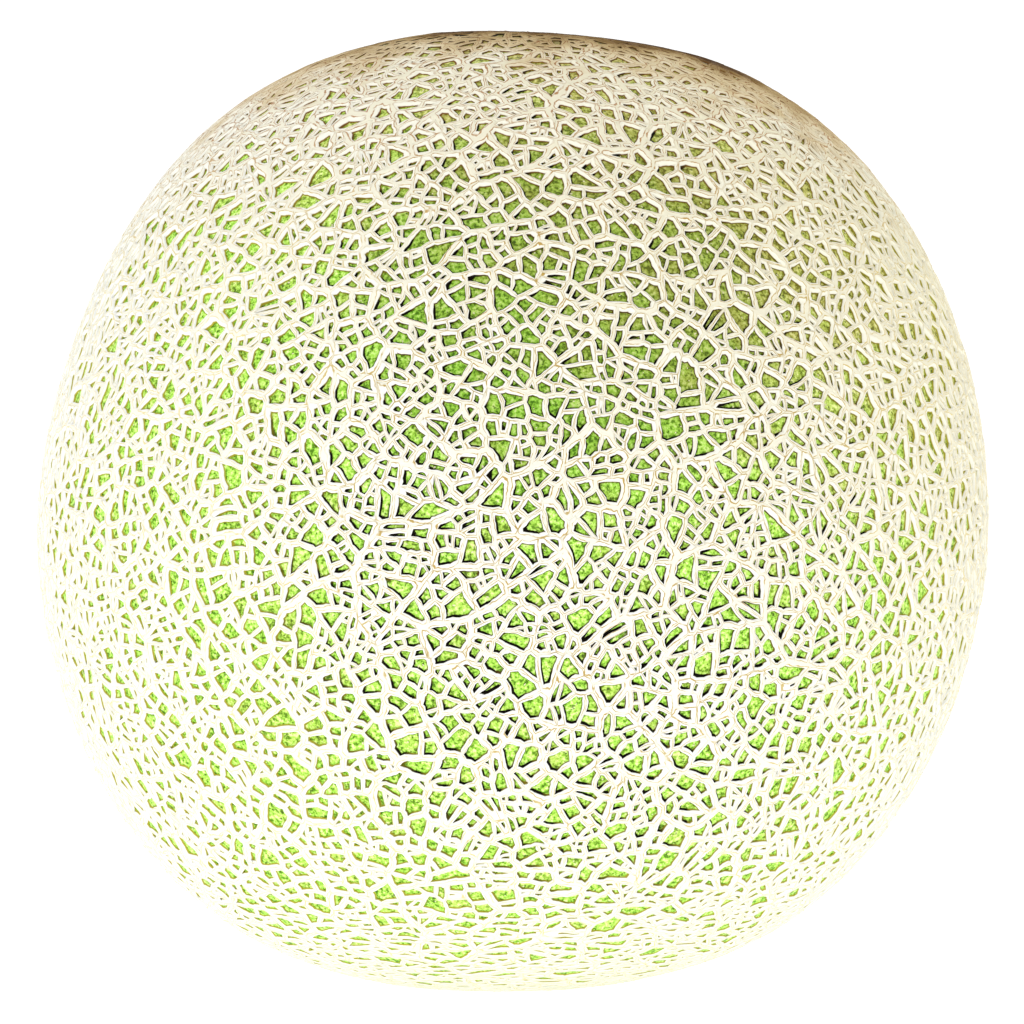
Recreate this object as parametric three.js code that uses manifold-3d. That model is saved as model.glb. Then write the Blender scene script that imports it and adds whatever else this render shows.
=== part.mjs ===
// A netted cantaloupe melon: one fruit, built as one closed solid.
// Millimetres, +Z up, stem end up. The origin is the middle of the spot that the fruit rests on.
import * as THREE from 'three';
import * as BufferGeometryUtils from 'three/addons/utils/BufferGeometryUtils.js';
import Module from 'manifold-3d';

const wasm = await Module();
wasm.setup();

// ---- Shape of the fruit -----------------------------------------------------------------------
const meanRadius = 76.2;       // middle of the fruit to the top of the net
const netHeight = 1.4;         // how far the net stands out of the skin, drawn larger than life
const restRadius = 13.5;       // the spot that the fruit rests on

// Distance from the middle to the top of the net. The cosine terms flatten both ends and square the
// shoulders, the lean makes one slanting diagonal a little fuller, the crown fills out the upper
// half, the dip flattens it again beside the stem, and the lobes swell the belly.
function crestRadius(direction) {
  const polar = Math.acos(THREE.MathUtils.clamp(direction.z, -1, 1));
  const ends = 0.45 * Math.cos(polar) + 0.5 * Math.cos(2 * polar) + 0.55 * Math.cos(3 * polar);
  const shoulders = -1.1 * Math.cos(4 * polar) - 0.45 * Math.cos(6 * polar);
  const lean = 1.2 * direction.x * direction.z;
  const up = Math.max(direction.z, 0);
  const crown = up ** 2 * (3 - 2 * up) * (1.25 + direction.x * (1.3 - 2.3 * up ** 2));
  const dip = 0.7 * THREE.MathUtils.smoothstep(0.12 * direction.x + 0.993 * direction.z, 0.95, 1);
  const around = Math.atan2(direction.y, direction.x);
  const lobes = 0.5 * (1 - direction.z ** 2) * Math.sin(3 * around);
  return meanRadius + ends + shoulders + lean + crown - dip + lobes;
}

// ---- Random draws -----------------------------------------------------------------------------
// A number from 0 to 1 that depends only on its two whole numbers, so each rope keeps its own draw.
function draw(id, salt) {
  let mixed = Math.imul(id ^ Math.imul(salt + 1, 0x9e3779b1), 0x85ebca6b);
  mixed ^= mixed >>> 13;
  mixed = Math.imul(mixed, 0xc2b2ae35);
  mixed ^= mixed >>> 16;
  return (mixed >>> 0) / 2 ** 32;
}

// ---- Plan of the net --------------------------------------------------------------------------
// The skin splits as the fruit swells, and each split heals as a rope of cork. So the net is made
// the same way: ten seams run from the stem scar to the blossom scar, and each patch between them
// is cut across its long way, again and again, until it is small.
const seams = 10;
const stemScarAngle = 0.135;      // radians from the stem end
const blossomScarAngle = 0.085;   // radians from the blossom end
const seamJitter = 0.16;          // radians
const firstPatchId = 16;          // ids double at each cut, so no two patches share one
const patchArea = 120;           // mm2, the size at which a patch is likely to stay whole
const areaSpread = 0.5;
const cutTurn = 0.4;              // radians either way
const cutShift = 0.2;             // of the patch's spread along its long way
const lengthwiseShare = 0.12;     // of the cuts run along the patch, where it isn't slender
const slender = 1.9;
const leastEdgeShare = 0.2;       // a cut stays this far along an edge from its ends
const easeRounds = 2;
const easeShare = 0.5;

const points = [];
const patches = [];
const patchOfEdge = new Map();
const edgeKey = (from, to) => from * 65536 + to;

const isScar = ({ id }) => id >= firstPatchId + seams && id < 2 * firstPatchId;

function addPatch(id, ring) {
  const patch = { id, ring };
  patches.push(patch);
  claimEdges(patch);
}

function claimEdges(patch) {
  patch.ring.forEach((corner, i) => {
    const next = patch.ring[(i + 1) % patch.ring.length];
    patchOfEdge.set(edgeKey(corner.point, next.point), patch);
  });
}

function addPoint(polar, around) {
  points.push(new THREE.Vector3().setFromSphericalCoords(1, polar, around));
  const p = points[points.length - 1];
  p.set(p.z, p.x, p.y);
  return points.length - 1;
}

function startPatches() {
  const stemRing = [];
  const blossomRing = [];
  for (let k = 0; k < seams; k++) {
    const around = (2 * Math.PI * k) / seams;
    stemRing.push(addPoint(stemScarAngle, around));
    blossomRing.push(addPoint(Math.PI - blossomScarAngle, around + seamJitter * (draw(k, 1) - 0.5)));
  }
  const corner = (point) => ({ point, isCorner: true });
  for (let k = 0; k < seams; k++) {
    const next = (k + 1) % seams;
    const ring = [stemRing[k], blossomRing[k], blossomRing[next], stemRing[next]];
    addPatch(firstPatchId + k, ring.map(corner));
  }
  addPatch(firstPatchId + seams, stemRing.map(corner));
  addPatch(firstPatchId + seams + 1, blossomRing.slice().reverse().map(corner));
}

function ringPoints(patch) {
  return patch.ring.map(({ point }) => points[point]);
}

// Area of a patch in mm2: the sum of its triangles on the unit sphere, scaled up.
function areaOf(patch) {
  const [a, ...rest] = ringPoints(patch);
  let area = 0;
  for (let i = 0; i + 1 < rest.length; i++) {
    const [b, c] = [rest[i], rest[i + 1]];
    const volume = a.dot(new THREE.Vector3().crossVectors(b, c));
    area += 2 * Math.atan2(volume, 1 + a.dot(b) + b.dot(c) + c.dot(a));
  }
  return area * meanRadius ** 2;
}

// The middle of a patch, its long and its short direction there, and its spread along each.
function frameOf(patch) {
  const ring = ringPoints(patch);
  const middle = new THREE.Vector3();
  ring.forEach((p, i) => {
    const next = ring[(i + 1) % ring.length];
    middle.addScaledVector(p.clone().add(next), p.distanceTo(next));
  });
  middle.normalize();
  const east = new THREE.Vector3(-middle.y, middle.x, 0).normalize();
  const north = new THREE.Vector3().crossVectors(middle, east);
  let [xx, xy, yy, length] = [0, 0, 0, 0];
  ring.forEach((p, i) => {
    const next = ring[(i + 1) % ring.length];
    const [ax, ay, bx, by] = [p.dot(east), p.dot(north), next.dot(east), next.dot(north)];
    const weight = p.distanceTo(next);
    xx += weight * (ax * ax + ax * bx + bx * bx) / 3;
    xy += weight * (2 * ax * ay + ax * by + bx * ay + 2 * bx * by) / 6;
    yy += weight * (ay * ay + ay * by + by * by) / 3;
    length += weight;
  });
  const turn = 0.5 * Math.atan2(2 * xy, xx - yy);
  const middleSpread = (xx + yy) / (2 * length);
  const difference = Math.hypot(xx - yy, 2 * xy) / (2 * length);
  const longWay = east.multiplyScalar(Math.cos(turn)).addScaledVector(north, Math.sin(turn));
  return {
    middle,
    longWay,
    longSpread: Math.sqrt(middleSpread + difference),
    shortSpread: Math.sqrt(Math.max(middleSpread - difference, 1e-12)),
  };
}

// The normal of the plane through the fruit's middle that cuts a patch in two.
function cutOf(patch) {
  const { middle, longWay, longSpread, shortSpread } = frameOf(patch);
  const shift = cutShift * 2 * (draw(patch.id, 2) - 0.5) * 2;
  const through = middle.clone().addScaledVector(longWay, shift * longSpread).normalize();
  const isLengthwise = draw(patch.id, 3) < lengthwiseShare && longSpread < slender * shortSpread;
  const turn = cutTurn * 2 * (draw(patch.id, 4) - 0.5) + (isLengthwise ? Math.PI / 2 : 0);
  return longWay.clone().applyAxisAngle(through, turn).projectOnPlane(through);
}

// A new point on the edge between two points of a patch. The patch across that edge gets it too.
function pointOnEdge(from, to, share) {
  const safeShare = THREE.MathUtils.clamp(share, leastEdgeShare, 1 - leastEdgeShare);
  points.push(points[from].clone().lerp(points[to], safeShare).normalize());
  const added = points.length - 1;
  const neighbour = patchOfEdge.get(edgeKey(to, from));
  const at = neighbour.ring.findIndex(({ point }) => point === to);
  neighbour.ring.splice(at + 1, 0, { point: added, isCorner: false });
  claimEdges(neighbour);
  return added;
}

function halvesOf(patch) {
  const normal = cutOf(patch);
  const halves = [[], []];
  const { ring } = patch;
  ring.forEach((corner, i) => {
    const next = ring[(i + 1) % ring.length];
    const here = normal.dot(points[corner.point]);
    const there = normal.dot(points[next.point]);
    halves[here > 0 ? 0 : 1].push(corner);
    if ((here > 0) !== (there > 0)) {
      const point = pointOnEdge(corner.point, next.point, here / (here - there));
      halves.forEach((half) => half.push({ point, isCorner: true }));
    }
  });
  return halves;
}

// Cuts one generation of patches after the other, until each one is small enough.
function cutPatches() {
  let cutSome = true;
  while (cutSome) {
    cutSome = false;
    const generation = patches.splice(0);
    for (const patch of generation) {
      const limit = patchArea * Math.exp(areaSpread * 2 * (draw(patch.id, 5) - 0.5));
      if (isScar(patch) || areaOf(patch) < limit) {
        patches.push(patch);
        continue;
      }
      halvesOf(patch).forEach((ring, i) => addPatch(2 * patch.id + i, ring));
      cutSome = true;
    }
  }
}

// The ropes pull on the points where they meet, so that they meet in a Y more than in a T.
function easePoints() {
  const rims = new Set(patches.filter(isScar).flatMap(({ ring }) => ring.map(({ point }) => point)));
  for (let round = 0; round < easeRounds; round++) {
    const pulls = points.map(() => new THREE.Vector3());
    for (const { ring } of patches) {
      ring.forEach(({ point }, i) => pulls[point].add(points[ring[(i + 1) % ring.length].point]));
    }
    points.forEach((p, i) => {
      if (!rims.has(i)) p.lerp(pulls[i].normalize(), easeShare).normalize();
    });
  }
}

// ---- Raising the net --------------------------------------------------------------------------
// Ropes wind a little, so every direction is swayed by a few slow waves across the fruit.
const swayWaves = [
  { length: 48, size: 1.3 },
  { length: 36, size: 1.0 },
  { length: 16, size: 0.4 },
  { length: 13, size: 0.3 },
];

function randomDirection(salt) {
  const z = 2 * draw(salt, 11) - 1;
  const around = 2 * Math.PI * draw(salt, 12);
  const flat = Math.sqrt(1 - z * z);
  return new THREE.Vector3(flat * Math.cos(around), flat * Math.sin(around), z);
}

function swayed(direction) {
  const moved = direction.clone();
  swayWaves.forEach(({ length, size }, i) => {
    for (let k = 0; k < 3; k++) {
      const salt = 3 * i + k;
      const travel = direction.dot(randomDirection(salt)) * (2 * Math.PI * meanRadius) / length;
      const push = (size / meanRadius) * Math.sin(travel + 2 * Math.PI * draw(salt, 13));
      moved.addScaledVector(randomDirection(salt + 100), push);
    }
  });
  const stillness = THREE.MathUtils.smoothstep(Math.hypot(direction.x, direction.y), 0.1, 0.35);
  return direction.clone().lerp(moved, stillness).normalize();
}

// Corners of the solid. A height of 0 is on the skin, and netHeight is on top of the net.
const corners = [];
const triangles = [];

function addCorner(direction, height) {
  const way = swayed(direction);
  corners.push(way.multiplyScalar(crestRadius(way) - netHeight + height));
  return corners.length - 1;
}

const ropeHalfWidth = 0.95;
const deepestShare = 0.72;      // in a tight patch, its foot stays this share out from its middle

// Shares, from a patch's middle to each of its corners, where the ropes around it meet the skin.
function footShares(patch) {
  const ring = ringPoints(patch);
  const { middle } = frameOf(patch);
  const flat = ring.map((p) => p.clone().divideScalar(p.dot(middle)).sub(middle));
  const sides = flat.map((p, i) => {
    const along = flat[(i + 1) % flat.length].clone().sub(p);
    const outward = along.cross(middle).normalize();
    return { outward, distance: outward.dot(p) };
  });
  const nearest = Math.min(...sides.map(({ distance }) => distance));
  const width = Math.min(ropeHalfWidth / meanRadius, deepestShare * nearest);
  return flat.map((p) => {
    const shares = sides.map(({ outward, distance }) => (distance - width) / outward.dot(p));
    return Math.min(...shares.filter((share) => share > 0));
  });
}

// One patch: its foot on the skin, and slopes up to the ropes that it shares with its neighbours.
function raisePatch(patch, crestOf) {
  const { middle } = frameOf(patch);
  const shares = footShares(patch);
  const footOf = patch.ring.map(({ point, isCorner }, i) => {
    if (!isCorner) return null;
    const flat = points[point].clone().divideScalar(points[point].dot(middle)).sub(middle);
    return addCorner(flat.multiplyScalar(shares[i]).add(middle).normalize(), 0);
  });
  const turns = patch.ring.map((_, i) => i).filter((i) => patch.ring[i].isCorner);
  turns.forEach((start, t) => {
    const end = turns[(t + 1) % turns.length];
    const count = (end - start + patch.ring.length) % patch.ring.length;
    const crest = (step) => crestOf[patch.ring[(start + step) % patch.ring.length].point];
    const half = Math.floor(count / 2);
    for (let step = 0; step < count; step++) {
      triangles.push(crest(step), crest(step + 1), footOf[step < half ? start : end]);
    }
    triangles.push(footOf[start], crest(half), footOf[end]);
  });
  for (let t = 1; t + 1 < turns.length; t++) {
    triangles.push(footOf[turns[0]], footOf[turns[t]], footOf[turns[t + 1]]);
  }
}

// A scar: rings from the net's edge in to its middle, each at a share of the edge and a height.
function raiseScar(patch, crestOf, steps, middleHeight) {
  const { middle } = frameOf(patch);
  let outer = patch.ring.map(({ point }) => crestOf[point]);
  for (const { share, height } of steps) {
    const inner = patch.ring.map(({ point }) => {
      return addCorner(middle.clone().lerp(points[point], share).normalize(), height);
    });
    outer.forEach((corner, i) => {
      const next = (i + 1) % outer.length;
      triangles.push(corner, outer[next], inner[next], corner, inner[next], inner[i]);
    });
    outer = inner;
  }
  const tip = addCorner(middle, middleHeight);
  outer.forEach((corner, i) => triangles.push(corner, outer[(i + 1) % outer.length], tip));
}

// The stem slipped off and left a shallow dish in a corky collar, about level with the net.
const stemScar = [
  { share: 0.88, height: netHeight - 0.1 },
  { share: 0.68, height: -0.9 },
  { share: 0.3, height: -1.3 },
];
const stemScarMiddle = -0.7;

// The blossom left a corky button as high as the net, so the fruit rests on its flat middle too.
const blossomScar = [
  { share: 0.9, height: netHeight + 0.1 },
  { share: 0.6, height: netHeight + 0.2 },
];
const blossomScarMiddle = netHeight + 0.2;

function raiseNet() {
  const crestOf = points.map((point) => addCorner(point, netHeight));
  for (const patch of patches) {
    if (patch.id === firstPatchId + seams) {
      raiseScar(patch, crestOf, stemScar, stemScarMiddle);
    } else if (patch.id === firstPatchId + seams + 1) {
      raiseScar(patch, crestOf, blossomScar, blossomScarMiddle);
    } else {
      raisePatch(patch, crestOf);
    }
  }
}

// ---- Solids -----------------------------------------------------------------------------------
function toSolid(geometry) {
  const bare = geometry.clone();
  bare.deleteAttribute('normal');
  bare.deleteAttribute('uv');
  const merged = BufferGeometryUtils.mergeVertices(bare, 1e-4);
  return new wasm.Manifold(new wasm.Mesh({
    numProp: 3,
    vertProperties: merged.attributes.position.array,
    triVerts: Uint32Array.from(merged.index.array),
  }));
}

function toGeometry(solid) {
  const mesh = solid.getMesh();
  const geometry = new THREE.BufferGeometry();
  geometry.setAttribute('position', new THREE.BufferAttribute(mesh.vertProperties, 3));
  geometry.setIndex(new THREE.BufferAttribute(mesh.triVerts, 1));
  geometry.computeVertexNormals();
  return geometry;
}

function fruitGeometry() {
  const geometry = new THREE.BufferGeometry();
  geometry.setFromPoints(corners);
  geometry.setIndex(triangles);
  const restAngle = Math.PI - Math.asin(restRadius / meanRadius);
  const restWay = new THREE.Vector3(Math.sin(restAngle), 0, Math.cos(restAngle));
  geometry.translate(0, 0, -crestRadius(restWay) * Math.cos(restAngle));
  return geometry;
}

function table() {
  const side = 4 * restRadius;
  const depth = 10;
  return new THREE.BoxGeometry(side, side, depth).translate(0, 0, -depth / 2);
}

startPatches();
cutPatches();
easePoints();
raiseNet();

const restingFruit = toSolid(fruitGeometry()).subtract(toSolid(table()));
const rind = new THREE.MeshStandardMaterial({ color: 0xe6dfb8, roughness: 0.8, metalness: 0 });
const melon = new THREE.Mesh(toGeometry(restingFruit), rind);
melon.name = 'melon';

const fruit = new THREE.Group();
fruit.add(melon);

export default fruit;
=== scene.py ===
import itertools
import math

import bmesh
import bpy
import numpy as np
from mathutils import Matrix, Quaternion, Vector


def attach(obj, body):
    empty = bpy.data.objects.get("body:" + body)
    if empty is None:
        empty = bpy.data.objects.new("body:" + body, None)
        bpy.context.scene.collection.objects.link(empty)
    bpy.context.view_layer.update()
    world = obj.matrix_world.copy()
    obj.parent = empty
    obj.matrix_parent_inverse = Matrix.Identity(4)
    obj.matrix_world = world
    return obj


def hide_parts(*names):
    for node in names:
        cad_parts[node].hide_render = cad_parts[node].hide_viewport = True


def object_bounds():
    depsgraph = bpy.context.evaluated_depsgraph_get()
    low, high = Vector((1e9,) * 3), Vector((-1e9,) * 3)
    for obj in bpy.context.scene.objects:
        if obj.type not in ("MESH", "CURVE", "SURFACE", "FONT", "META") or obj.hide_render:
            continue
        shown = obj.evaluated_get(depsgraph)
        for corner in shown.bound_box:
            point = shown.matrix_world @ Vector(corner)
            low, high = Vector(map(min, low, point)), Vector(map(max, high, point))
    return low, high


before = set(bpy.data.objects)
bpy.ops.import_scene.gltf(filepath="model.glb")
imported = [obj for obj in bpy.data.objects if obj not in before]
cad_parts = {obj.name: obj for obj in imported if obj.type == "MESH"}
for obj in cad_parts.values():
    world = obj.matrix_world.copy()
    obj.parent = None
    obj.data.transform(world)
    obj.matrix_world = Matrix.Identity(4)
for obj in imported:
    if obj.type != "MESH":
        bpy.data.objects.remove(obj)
cad_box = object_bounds()

# ---- The form of the fruit -----------------------------------
# A muskmelon swells round from its flower: a little flat at both ends and square in the
# shoulders. It stands on its blossom end, with the stem end up.
MM = 0.001
MEAN_RADIUS = 76.2           # mm, from the middle of the fruit to the top of its net
REST_RADIUS = 13.5           # mm, the spot that the fruit rests on
PROFILE_WAVES = [(1, 0.45), (2, 0.5), (3, 0.55), (4, -1.1), (6, -0.45)]    # half waves, size in mm
CROWN_RISE = 1.25            # mm, at the stem end
CROWN_TILT = 1.3             # mm more on one side of it
CROWN_FOLD = 2.3             # mm less there at the very top
LEAN = 1.2                   # mm, out to one side above the waist and to the other below it
LOBES = 3                    # around the waist
LOBE_RISE = 0.5              # mm
DIP_WAY = np.array([0.12, 0.0, 0.993])    # towards the dish where the stem sat
DIP_EDGE = 0.95              # cosine of the angle from the dish's middle to its edge
DIP_DEPTH = 0.7              # mm
NET_RISE = 0.7               # mm, from the skin to the top of the tallest ropes
FLATTER_SHARE = 0.5          # of that, lost at both ends
FLATTER_BAND = (0.6, 0.95)   # from where to where it is lost, as shares of the half height


def smooth_step(values, low, high):
    share = np.clip((values - low) / (high - low), 0, 1)
    return share * share * (3 - 2 * share)


def crest_radius(ways):
    """Distance in mm from the middle of the fruit to the top of its net, for unit vectors."""
    x, y, z = ways.T
    polar = np.arccos(np.clip(z, -1, 1))
    profile = sum(rise * np.cos(count * polar) for count, rise in PROFILE_WAVES)
    up = np.maximum(z, 0)
    crown = up**2 * (3 - 2 * up) * (CROWN_RISE + x * (CROWN_TILT - CROWN_FOLD * up**2))
    dip = DIP_DEPTH * smooth_step(ways @ DIP_WAY, DIP_EDGE, 1)
    lobes = LOBE_RISE * (1 - z * z) * np.sin(LOBES * np.arctan2(y, x))
    return MEAN_RADIUS + profile + LEAN * x * z + crown - dip + lobes


rest_angle = math.pi - math.asin(REST_RADIUS / MEAN_RADIUS)
rest_way = np.array([[math.sin(rest_angle), 0, math.cos(rest_angle)]])
middle_height = -float(crest_radius(rest_way)[0]) * math.cos(rest_angle)


def net_rise(ways):
    """Height in mm of the tallest ropes above the skin. They lie flatter round both ends."""
    return NET_RISE * (1 - FLATTER_SHARE * smooth_step(np.abs(ways[:, 2]), *FLATTER_BAND))


def skin_points(ways):
    """Points in metres on the fruit's skin, for unit vectors from its middle."""
    reach = (crest_radius(ways) - net_rise(ways))[:, None] * ways
    return (reach + [0, 0, middle_height]) * MM


# ---- The plan of the net -------------------------------------
# The skin splits as the fruit swells, and cork heals each split as a rope. Seams from end to end
# come first, then cuts across the widest patches, again and again, until the patches are small.
SEAMS = 10
STEM_SCAR_ANGLE = 0.135      # radians from the stem end
BLOSSOM_SCAR_ANGLE = 0.085   # radians from the blossom end
SEAM_JITTER = 0.16           # radians, from the least to the most
FIRST_PATCH = 16             # patch numbers double at each cut, so no two share one
CUT_TURNS = (0.4, 0.26)      # radians either way, for the coarse ropes and for the fine ones
CUT_SHIFT = 0.4              # of the patch's spread, either way
CUT_TRIES = 4
LENGTHWISE_SHARE = 0.12      # of the cuts in patches that aren't slender
SLENDER = 1.9                # times the spread across a patch
LEAST_EDGE_SHARE = 0.2       # of an edge, left on both sides of the point where a cut meets it
FINE_RANK = 2                # ropes are fine from this rank on
FLAT_MESHES = (0.7, 0.6, 0.85)     # stretch low down, and from where to where it comes in
TALL_MESHES = (0.2, 0.85, 0.95)    # squeeze high up, the same
SLIT_SHARE = 0.28            # of the patches
SLIT_OFFSET = 0.3            # of the patch's spread, on top of the shift
LEAST_SPLIT_AREA = 4.0       # mm2
SWAY_WAVES = [(48, 1.3), (36, 1.0), (16, 0.4), (13, 0.3)]     # length and size in mm
STILL_RINGS = (0.1, 0.35)    # radii of the fruit from its axis: no sway inside, all of it outside


def draw(number, salt):
    """A number from 0 to 1 that depends only on two whole numbers."""
    mixed = ((number ^ ((salt + 1) * 0x9E3779B1)) * 0x85EBCA6B) & 0xFFFFFFFF
    mixed ^= mixed >> 13
    mixed = (mixed * 0xC2B2AE35) & 0xFFFFFFFF
    return (mixed ^ (mixed >> 16)) / 2**32


def pairs(ring):
    return list(zip(ring, ring[1:] + ring[:1]))


class Patch:
    """A patch of skin: a number, and a ring of points that runs anticlockwise seen from outside."""

    def __init__(self, number, ring):
        self.number = number
        self.ring = ring
        self.claim_edges()

    def claim_edges(self):
        for here, there in pairs(self.ring):
            patch_of_edge[here, there] = self

    def is_scar(self):
        return FIRST_PATCH + SEAMS <= self.number < 2 * FIRST_PATCH

    def area(self):
        """Area in mm2."""
        first, *rest = [points[p] for p in self.ring]
        total = 0
        for second, third in zip(rest, rest[1:]):
            dots = first.dot(second) + second.dot(third) + third.dot(first)
            total += 2 * math.atan2(first.dot(second.cross(third)), 1 + dots)
        return total * MEAN_RADIUS**2

    def middle(self):
        total = Vector()
        for here, there in pairs(self.ring):
            a, b = points[here], points[there]
            total += (a + b) * (a - b).length
        return total.normalized()

    def spread(self, fine):
        """The middle, the long direction there, and the spread along it and across it."""
        middle = self.middle()
        stretch = 1.0
        if fine:      # its meshes are flat near the blossom end, and tall near the stem end
            stretch += FLAT_MESHES[0] * float(smooth_step(-middle.z, *FLAT_MESHES[1:]))
            stretch -= TALL_MESHES[0] * float(smooth_step(middle.z, *TALL_MESHES[1:]))
        east = Vector((-middle.y, middle.x, 0)).normalized()
        north = middle.cross(east)
        xx = xy = yy = length = 0
        for here, there in pairs(self.ring):
            a, b = points[here], points[there]
            ax, bx = a.dot(east), b.dot(east)
            ay, by = a.dot(north) * stretch, b.dot(north) * stretch
            weight = (a - b).length
            xx += weight * (ax * ax + ax * bx + bx * bx) / 3
            xy += weight * (2 * ax * ay + ax * by + bx * ay + 2 * bx * by) / 6
            yy += weight * (ay * ay + ay * by + by * by) / 3
            length += weight
        turn = 0.5 * math.atan2(2 * xy, xx - yy)
        mean = (xx + yy) / (2 * length)
        difference = math.hypot(xx - yy, 2 * xy) / (2 * length)
        long_way = east * math.cos(turn) + north * math.sin(turn) * stretch
        return middle, long_way, math.sqrt(mean + difference), math.sqrt(max(mean - difference, 1e-12))

    def is_slender(self, fine):
        _, _, long_spread, short_spread = self.spread(fine)
        return long_spread > SLENDER * short_spread

    def cut_normal(self, attempt, off_centre, fine):
        """The normal of a plane through the fruit's middle that cuts the patch in two."""
        middle, long_way, long_spread, short_spread = self.spread(fine)
        salt = 20 * attempt
        shift = 2 * CUT_SHIFT * (draw(self.number, 2 + salt) - 0.5)
        shift += math.copysign(off_centre, shift)
        through = (middle + long_way * (shift * long_spread / long_way.length_squared)).normalized()
        turn = 2 * CUT_TURNS[fine] * (draw(self.number, 4 + salt) - 0.5)
        if draw(self.number, 3 + salt) < LENGTHWISE_SHARE and long_spread < SLENDER * short_spread:
            turn += math.pi / 2
        normal = Quaternion(through, turn) @ long_way
        return normal - through * normal.dot(through)

    def halves(self, rank, off_centre=0.0):
        """The two halves of the patch, with a new rope of this rank between them."""
        for attempt in range(CUT_TRIES):
            normal = self.cut_normal(attempt, off_centre, rank >= FINE_RANK)
            sides = [normal.dot(points[p]) > 0 for p in self.ring]
            if sum(a != b for a, b in pairs(sides)) == 2:
                break
        else:
            return None
        rings = ([], [])
        ends = []
        for here, there in pairs(self.ring):
            a, b = normal.dot(points[here]), normal.dot(points[there])
            rings[0 if a > 0 else 1].append(here)
            if (a > 0) != (b > 0):
                added = add_point_on(here, there, a / (a - b))
                ends.append(added)
                rings[0].append(added)
                rings[1].append(added)
        rope_rank[min(ends), max(ends)] = rank
        return [Patch(2 * self.number + i, ring) for i, ring in enumerate(rings)]


def add_point_on(here, there, share):
    """A new point on an edge. The patch across the edge gets it too."""
    share = min(max(share, LEAST_EDGE_SHARE), 1 - LEAST_EDGE_SHARE)
    points.append(points[here].lerp(points[there], share).normalized())
    added = len(points) - 1
    rank = rope_rank.get((min(here, there), max(here, there)), 0)
    rope_rank[here, added] = rope_rank[there, added] = rank
    neighbour = patch_of_edge[there, here]
    neighbour.ring.insert(neighbour.ring.index(there) + 1, added)
    neighbour.claim_edges()
    return added


def point_at(polar, around):
    flat = math.sin(polar)
    points.append(Vector((flat * math.cos(around), flat * math.sin(around), math.cos(polar))))
    return len(points) - 1


def cut_patches(patches, area, area_spread, salt, rank, slender_share=1.0):
    """Cuts generation after generation of patches, until each is smaller than about this many mm2.
    Each generation of fine ropes is a rank finer."""
    while True:
        generation, patches = patches, []
        for patch in generation:
            limit = area * math.exp(2 * area_spread * (draw(patch.number, salt) - 0.5))
            if patch.is_slender(rank >= FINE_RANK):
                limit *= slender_share
            halves = None
            if not patch.is_scar() and patch.area() >= limit:
                halves = patch.halves(rank)
            patches += halves or [patch]
        if len(patches) == len(generation):
            return patches
        rank += rank >= FINE_RANK


def cut_slits(patches, rank):
    """Thin ropes close beside others leave only slits and pinholes of skin between them."""
    after = []
    for patch in patches:
        halves = None
        if not patch.is_scar() and draw(patch.number, 7) < SLIT_SHARE and patch.area() > LEAST_SPLIT_AREA:
            halves = patch.halves(rank, SLIT_OFFSET)
        after += halves or [patch]
    return after


def ease_points(patches, rounds, share):
    """Ropes pull on the points where they meet, so that they meet in a Y more than in a T."""
    rims = {p for patch in patches if patch.is_scar() for p in patch.ring}
    for _ in range(rounds):
        pulls = [Vector() for _ in points]
        for patch in patches:
            for here, there in pairs(patch.ring):
                pulls[here] += points[there]
        for i, pull in enumerate(pulls):
            if i not in rims:
                points[i] = points[i].lerp(pull.normalized(), share).normalized()


def random_way(salt):
    z = 2 * draw(salt, 11) - 1
    around = 2 * math.pi * draw(salt, 12)
    flat = math.sqrt(1 - z * z)
    return np.array([flat * math.cos(around), flat * math.sin(around), z])


def swayed(ways, waves, first_salt=0):
    """Ropes wind a little: every direction is moved by a few waves that run across the fruit."""
    moved = ways.copy()
    for i, (length, size) in enumerate(waves):
        for salt in range(first_salt + 3 * i, first_salt + 3 * i + 3):
            travel = ways @ random_way(salt) * (2 * math.pi * MEAN_RADIUS / length)
            push = size / MEAN_RADIUS * np.sin(travel + 2 * math.pi * draw(salt, 13))
            moved += push[:, None] * random_way(salt + 100)
    moving = smooth_step(np.hypot(ways[:, 0], ways[:, 1]), *STILL_RINGS)[:, None]
    moved = ways + (moved - ways) * moving
    return moved / np.linalg.norm(moved, axis=1)[:, None]


points = []
patch_of_edge = {}
rope_rank = {}

stem_ring = []
blossom_ring = []
for k in range(SEAMS):
    around = 2 * math.pi * k / SEAMS
    stem_ring.append(point_at(STEM_SCAR_ANGLE, around))
    jitter = SEAM_JITTER * (draw(k, 1) - 0.5)
    blossom_ring.append(point_at(math.pi - BLOSSOM_SCAR_ANGLE, around + jitter))
patches = []
for k in range(SEAMS):
    following = (k + 1) % SEAMS
    gore = [stem_ring[k], blossom_ring[k], blossom_ring[following], stem_ring[following]]
    patches.append(Patch(FIRST_PATCH + k, gore))
patches.append(Patch(FIRST_PATCH + SEAMS, stem_ring))
patches.append(Patch(FIRST_PATCH + SEAMS + 1, blossom_ring[::-1]))

patches = cut_patches(patches, area=120, area_spread=0.5, salt=5, rank=1)
ease_points(patches, rounds=2, share=0.5)
points = [Vector(way) for way in swayed(np.array(points), SWAY_WAVES)]
patches = cut_patches(patches, area=12.0, area_spread=0.5, salt=6, rank=FINE_RANK, slender_share=0.45)
ease_points(patches, rounds=1, share=0.25)
patches = cut_slits(patches, rank=9)

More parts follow.
